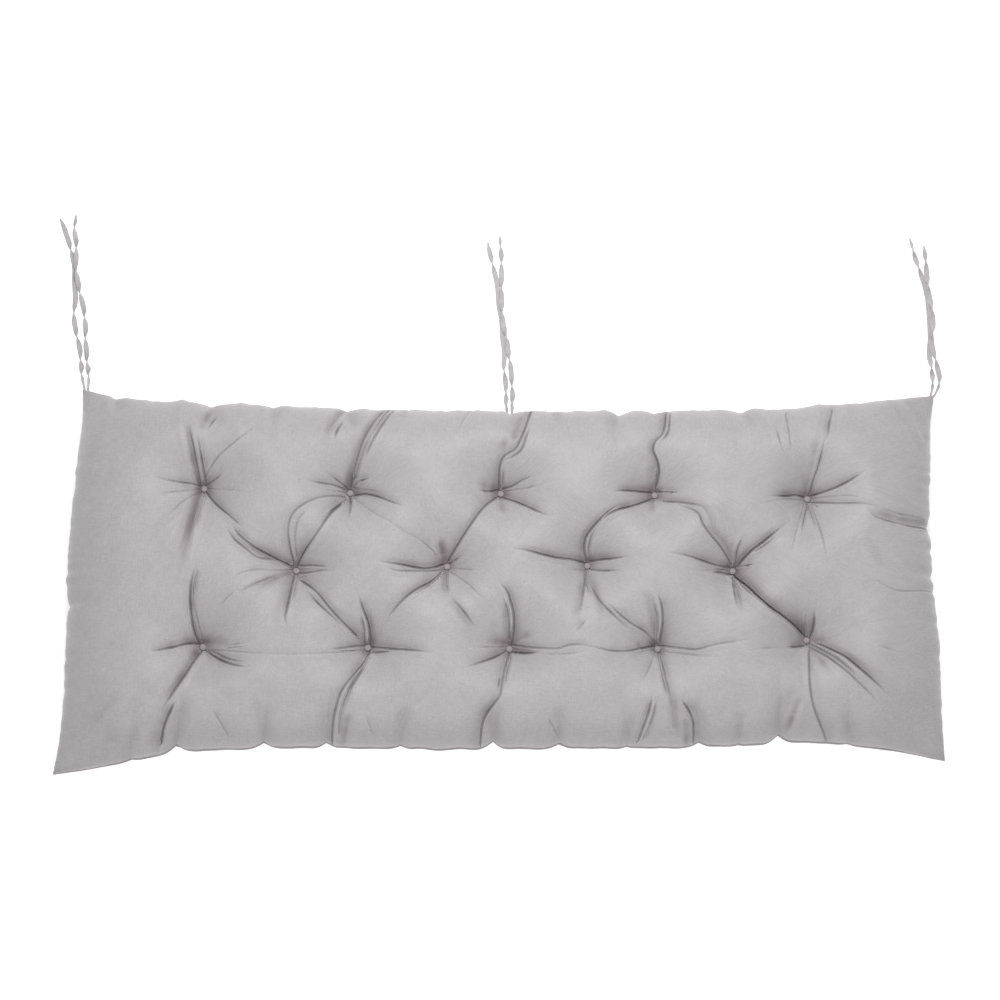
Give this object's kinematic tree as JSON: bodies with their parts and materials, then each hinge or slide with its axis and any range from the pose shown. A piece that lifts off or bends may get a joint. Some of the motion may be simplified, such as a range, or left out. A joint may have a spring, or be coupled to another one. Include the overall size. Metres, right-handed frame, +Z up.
{
  "type": "bench cushion",
  "caption": "Long tufted bench cushion: a filled crowned pad with a knife-edge seam, button tufts and flat fabric ties along its back edge.",
  "frame": {"origin": "centre of the cushion's bounding box at its flat underside, without the ties", "axes": "+X along the cushion to its right end, +Y towards the back edge with the ties, +Z up out of the tufted face"},
  "size_m": [1.1504, 0.7506, 0.078],
  "materials": {
    "cover": "warm light grey woven polyester with a soft sheen",
    "buttons": "buttons covered in the same cloth",
    "ties": "folded flat ribbon of the same cloth"
  },
  "bodies": {
    "root": {"cushion": "cover", "button_t1": "buttons", "button_t2": "buttons", "button_t3": "buttons", "button_t4": "buttons", "button_t5": "buttons", "button_m1": "buttons", "button_m2": "buttons", "button_m3": "buttons", "button_m4": "buttons", "button_b1": "buttons", "button_b2": "buttons", "button_b3": "buttons", "button_b4": "buttons", "button_b5": "buttons", "tie_left_a": "ties", "tie_left_b": "ties", "tie_middle_a": "ties", "tie_middle_b": "ties", "tie_right_a": "ties", "tie_right_b": "ties"}
  },
  "joints": []
}
